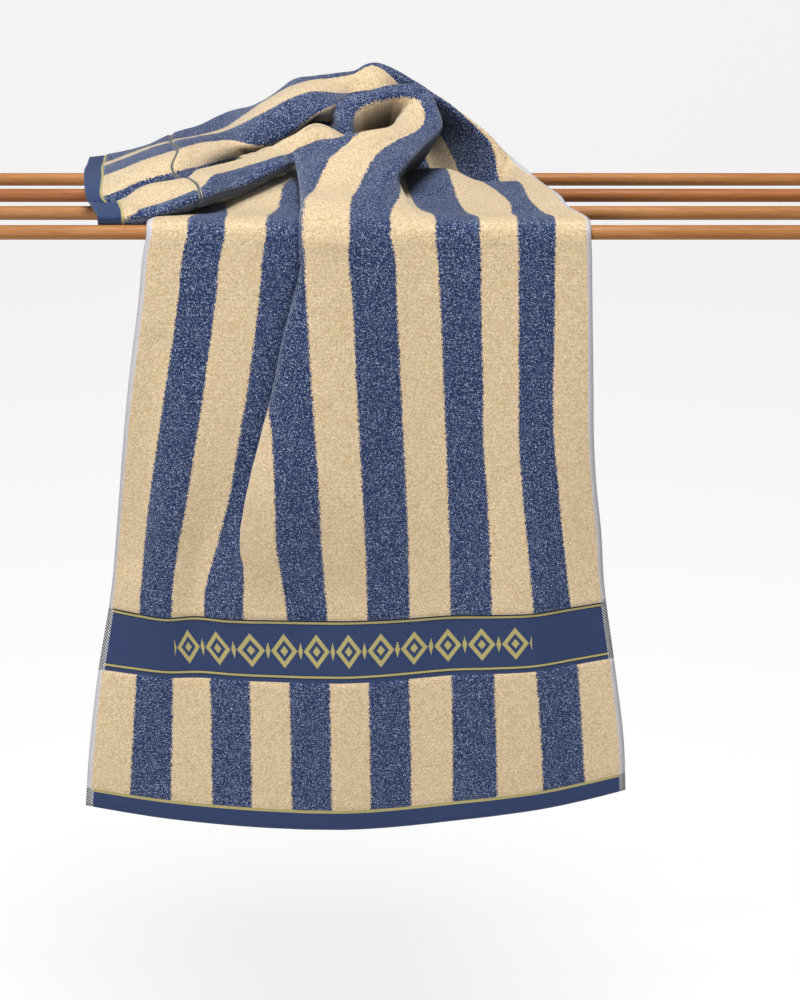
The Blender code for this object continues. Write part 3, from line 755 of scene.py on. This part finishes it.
def check_group():
    """Check: 1 on the woven border and hems, and 1 on the white squares of the check there."""
    n, given, end = new_group(
        "woven_check", {"Place": "NodeSocketVector", "Square": "NodeSocketFloat"}, ("Woven", "White"))
    along = n.parts(given["Place"])[1]
    woven = n.inside(along, BAND_START * MM, BAND_END * MM, CHECK_SOFT * MM)
    woven = n.math("MAXIMUM", woven, n.math("LESS_THAN", along, HEM_LINE * MM))
    woven = n.math("MAXIMUM", woven, n.math("GREATER_THAN", along, FAR_HEM_START * MM))
    count = n.math("DIVIDE", 1.0, given["Square"])
    check = n.add("ShaderNodeTexChecker", {"Vector": given["Place"], "Scale": count})
    white = n.math("MULTIPLY", woven, check.outputs["Fac"])
    finish_group(n, end, {"Woven": woven, "White": white})


def grain_group():
    """Wood grain along X: long streaks and fine pores."""
    n, given, end = new_group(
        "wood_grain", {"Place": "NodeSocketVector", "Seed": "NodeSocketFloat"}, ("Streak", "Pore"))
    long = n.vector("MULTIPLY", given["Place"], (9.0, 160.0, 160.0))
    fine = n.vector("MULTIPLY", given["Place"], (70.0, 1500.0, 1500.0))
    streak = n.add("ShaderNodeTexNoise", {"Vector": long, "W": given["Seed"], "Scale": 1.0, "Detail": 5.0,
                                          "Roughness": 0.6, "Distortion": 0.6}, noise_dimensions="4D")
    pore = n.add("ShaderNodeTexNoise", {"Vector": fine, "W": given["Seed"], "Scale": 1.0, "Detail": 2.0},
                 noise_dimensions="4D")
    finish_group(n, end, {"Streak": streak.outputs["Fac"], "Pore": n.ramp(pore.outputs["Fac"], 0.45, 0.7)})


def new_material(name):
    """A new material: itself, its Nodes and its Principled shader."""
    material = bpy.data.materials.new(name)
    material.use_nodes = True
    return material, Nodes(material.node_tree), material.node_tree.nodes["Principled BSDF"]


def cloth_place(n):
    """The distances across and along the cloth, in metres, from the towel's UV map."""
    return n.add("ShaderNodeUVMap", uv_map="cloth").outputs["UV"]


def join(n, shader, colour, roughness, height, distance):
    """Feed a shader its colour, roughness and bump; distance is the bump's depth in metres."""
    bump = n.add("ShaderNodeBump", {"Height": height, "Distance": distance, "Strength": 1.0})
    n.tree.links.new(colour, shader.inputs["Base Color"])
    n.tree.links.new(roughness, shader.inputs["Roughness"])
    n.tree.links.new(bump.outputs["Normal"], shader.inputs["Normal"])


def set_values(shader, values):
    """Set the values of a shader that are the same all over."""
    for name, value in values.items():
        shader.inputs[name].default_value = value


def blue_stripes(n, across, fleck):
    """1 on the blue stripes; their edges are broken up by single loops."""
    stray = n.math("MULTIPLY_ADD", fleck, 2 * RAGGED * MM, -RAGGED * MM)
    stripe = n.math("DIVIDE", n.math("ADD", across, stray), WIDTH * MM / STRIPES)
    return n.math("GREATER_THAN", n.math("FLOORED_MODULO", stripe, 2.0), 1.0)


def terry_material():
    """Looped pile in cream and blue stripes, with painted shade darkening it down in its folds."""
    material, n, shader = new_material("terry_pile")
    solid = n.add("ShaderNodeTexCoord").outputs["Object"]
    across, along, _ = n.parts(cloth_place(n))
    large = n.group("terry_loops", Place=solid, Size=LARGE_LOOP * MM)
    small = n.group("terry_loops", Place=solid, Size=SMALL_LOOP * MM)
    clumps = n.noise(solid, Scale=260.0, Detail=3.0, Roughness=0.6)
    curls = n.noise(solid, Scale=1120.0, Detail=1.0, Distortion=0.8)
    row = n.math("SINE", n.math("MULTIPLY", along, 2 * pi / (LOOP_ROW * MM)))
    height = n.blend((large["Height"], 0.6), (small["Height"], 0.4))
    depth = n.ramp(n.blend((row, 0.03), (height, 1.0)), 0.25, 0.85)
    grain = n.blend((clumps, 0.5), (large["Fleck"], 0.5))
    # painted shade: the cream darkens down between the loops (low depth), and its tone also varies at
    # random (grain)
    cream = n.mix(n.blend((depth, 0.55), (grain, 0.6)), CREAM_DEEP, CREAM_LIGHT)
    pale_tips = n.math("MULTIPLY", n.ramp(curls, 0.52, 0.64), n.ramp(depth, 0.0, 0.5))
    blue = n.mix(pale_tips, n.mix(grain, BLUE_DARK, BLUE_MID), BLUE_PALE)
    colour = n.mix(blue_stripes(n, across, small["Fleck"]), cream, blue)
    # painted shade: the colour is darkened towards black where the cloth is shut in a fold
    shade = n.add("ShaderNodeAttribute", attribute_name="fold_shade").outputs["Fac"]
    rough = n.math("MULTIPLY_ADD", depth, 0.08, 0.88)
    relief = n.blend((height, 1.0), (curls, 0.9), (clumps, 0.7))
    join(n, shader, n.mix(shade, BLACK, colour), rough, relief, 0.0011)
    set_values(shader, {"Sheen Weight": 0.42, "Sheen Roughness": 0.4,
                        "Sheen Tint": (0.80, 0.89, 1.0, 1.0), "Specular IOR Level": 0.15})
    return material


def lozenges(n, across, along):
    """A chain of open lozenges with a small solid one inside each and a bar between them."""
    repeat = LOZENGE_REPEAT * MM
    from_middle = n.math("SUBTRACT", across, WIDTH / 2 * MM)
    side = n.math("ABSOLUTE", n.math("WRAP", from_middle, repeat / 2, -repeat / 2))
    rise = n.math("ABSOLUTE", n.math("SUBTRACT", along, (BAND_START + BAND_END) / 2 * MM))
    size = n.blend((side, 1 / (LOZENGE_HALF_WIDE * MM)), (rise, 1 / (LOZENGE_HALF_TALL * MM)))
    ring = n.inside(size, 0.62, 1.0, 0.02)
    seed = n.math("LESS_THAN", size, 0.3)
    apart = n.math("SUBTRACT", repeat / 2, side)
    bar = n.blend((apart, 1 / (BAR_HALF_WIDE * MM)), (rise, 1 / (BAR_HALF_TALL * MM)))
    chain = n.math("MAXIMUM", n.math("MAXIMUM", ring, seed), n.math("LESS_THAN", bar, 1.0))
    field = n.math("LESS_THAN", n.math("ABSOLUTE", from_middle), LOZENGES / 2 * repeat)
    return n.math("MULTIPLY", chain, field)


def flat_weave_material():
    """Flat navy weave of the border, the hems and the thin line, with gold lines and lozenges."""
    material, n, shader = new_material("flat_weave")
    place = cloth_place(n)
    weave = n.group("flat_weave", Place=place, Rib=FLAT_RIB * MM)
    check = n.group("woven_check", Place=place, Square=CHECK * MM)
    across, along, _ = n.parts(n.vector("SNAP", place, (STITCH * MM,) * 3))
    gold = n.math("MAXIMUM", lozenges(n, across, along), n.stretches(along, GOLD_LINES))
    dark = n.math("MULTIPLY", n.stretches(along, DARK_STRIPS), 0.75)
    tone = n.ramp(weave["Tone"], 0.34, 0.66)
    navy = n.mix(dark, n.mix(tone, NAVY_DEEP, NAVY), NAVY_LINE)
    colour = n.mix(gold, navy, n.mix(tone, GOLD_DEEP, GOLD))
    inward = n.math("MINIMUM", across, n.math("SUBTRACT", WIDTH * MM, across))
    beside = n.math("MULTIPLY", n.math("LESS_THAN", inward, CHECK_WIDTH * MM), check["White"])
    rough = n.math("MULTIPLY_ADD", tone, 0.15, 0.68)
    relief = n.blend((weave["Height"], 1.0), (gold, 0.8))
    join(n, shader, n.mix(beside, colour, CHECK_WHITE), rough, relief, 0.00025)
    set_values(shader, {"Sheen Weight": 0.25, "Sheen Tint": (0.60, 0.76, 1.0, 1.0),
                        "Specular IOR Level": 0.3})
    return material


def selvedge_material():
    """Narrow flat edge: pale, and checked with navy beside the border and the hems."""
    material, n, shader = new_material("selvedge")
    place = cloth_place(n)
    weave = n.group("flat_weave", Place=place, Rib=SELVEDGE_RIB * MM)
    check = n.group("woven_check", Place=place, Square=CHECK * MM)
    pale = n.mix(weave["Tone"], EDGE_GREY, EDGE_WHITE)
    colour = n.mix(check["Woven"], pale, n.mix(check["White"], NAVY_LINE, CHECK_WHITE))
    rough = n.math("MULTIPLY_ADD", weave["Tone"], 0.1, 0.8)
    join(n, shader, colour, rough, weave["Height"], 0.0003)
    set_values(shader, {"Specular IOR Level": 0.2})
    return material


def wood_material(name, light, deep, seed):
    """Smooth oiled wood with grain along the rod."""
    material, n, shader = new_material(name)
    place = n.add("ShaderNodeTexCoord").outputs["Object"]
    grain = n.group("wood_grain", Place=place, Seed=seed)
    colour = n.mix(n.ramp(grain["Streak"], 0.25, 0.75), deep, light)
    pore_colour = tuple(0.55 * c for c in deep)
    colour = n.mix(n.math("MULTIPLY", grain["Pore"], 0.25), colour, pore_colour)
    rough = n.math("MULTIPLY_ADD", grain["Pore"], 0.15, 0.42)
    join(n, shader, colour, rough, grain["Pore"], -0.00008)
    set_values(shader, {"Specular IOR Level": 0.25})
    return material


def dress_rods():
    """Give each rod its own piece of wood."""
    for number, (name, (light, deep)) in enumerate(WOOD_TONES.items()):
        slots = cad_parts[name].material_slots
        slots[0].material = wood_material(name + "_wood", light, deep, 3.0 + 2.7 * number)


def backdrop_material():
    """White paper that looks evenly lit, and throws little of that light on the object."""
    material, n, shader = new_material("backdrop_paper")
    set_values(shader, {"Base Color": (0.25, 0.25, 0.25, 1.0), "Roughness": 1.0,
                        "Specular IOR Level": 0.0, "Emission Color": (1.0, 1.0, 1.0, 1.0)})
    seen = n.add("ShaderNodeLightPath").outputs["Is Camera Ray"]
    glow = n.math("MULTIPLY_ADD", seen, BACKDROP_GLOW - BACKDROP_LIGHT, BACKDROP_LIGHT)
    n.tree.links.new(glow, shader.inputs["Emission Strength"])
    return material


def build_stage():
    """Pale floor and backdrop in one sheet, its inner corner rounded to a cove."""
    bpy.ops.object.select_all(action="DESELECT")
    bpy.ops.mesh.primitive_plane_add(size=BACKDROP_SIZE, location=(0.0, BACKDROP_Y, FLOOR_Z))
    backdrop = bpy.context.object
    backdrop.name = "backdrop"
    bpy.ops.object.mode_set(mode="EDIT")
    bpy.ops.mesh.select_all(action="DESELECT")
    bpy.ops.object.mode_set(mode="OBJECT")
    for edge in backdrop.data.edges:
        ends = [backdrop.data.vertices[k].co.y for k in edge.vertices]
        edge.select = min(ends) > 0.49 * BACKDROP_SIZE
    bpy.ops.object.mode_set(mode="EDIT")
    bpy.ops.mesh.extrude_region_move(TRANSFORM_OT_translate={"value": (0.0, 0.0, BACKDROP_HEIGHT)})
    bpy.ops.object.mode_set(mode="OBJECT")
    bpy.ops.object.transform_apply(location=True, rotation=True, scale=True)
    corner = backdrop.modifiers.new("cove", "BEVEL")
    corner.width = COVE_WIDTH
    corner.segments = 12
    corner.limit_method = "ANGLE"
    bpy.ops.object.modifier_apply(modifier=corner.name)
    bpy.ops.object.shade_smooth()
    backdrop.data.materials.append(backdrop_material())


def add_light(name, place, aim, size, power):
    """A soft rectangular light that points at a place."""
    data = bpy.data.lights.new(name, "AREA")
    data.shape = "RECTANGLE"
    data.size, data.size_y = size
    data.energy = power
    light = bpy.data.objects.new(name, data)
    bpy.context.collection.objects.link(light)
    light.location = place
    light.rotation_euler = (Vector(aim) - Vector(place)).to_track_quat("-Z", "Y").to_euler()


def build_lights():
    """The two lights of the LIGHTS table, and a weak even light from all round."""
    for light in LIGHTS:
        add_light(*light)
    world = bpy.data.worlds.new("studio")
    world.use_nodes = True
    background = world.node_tree.nodes["Background"]
    set_values(background, {"Color": (1.0, 1.0, 1.0, 1.0), "Strength": WORLD_LIGHT})
    bpy.context.scene.world = world


def build_camera():
    """The photograph's camera: in front and a little above, looking down by twenty degrees."""
    data = bpy.data.cameras.new("camera")
    data.lens = CAMERA_LENS
    data.sensor_width = CAMERA_SENSOR
    camera = bpy.data.objects.new("camera", data)
    bpy.context.collection.objects.link(camera)
    camera.location = CAMERA_PLACE
    camera.rotation_euler = (radians(90 - CAMERA_DOWN), 0.0, 0.0)
    bpy.context.scene.camera = camera


bpy.context.scene.view_settings.view_transform = "Standard"
loops_group()
weave_group()
check_group()
grain_group()
towel = build_towel()
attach(towel, "root")
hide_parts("towel")
dress_rods()
build_stage()
build_lights()
build_camera()
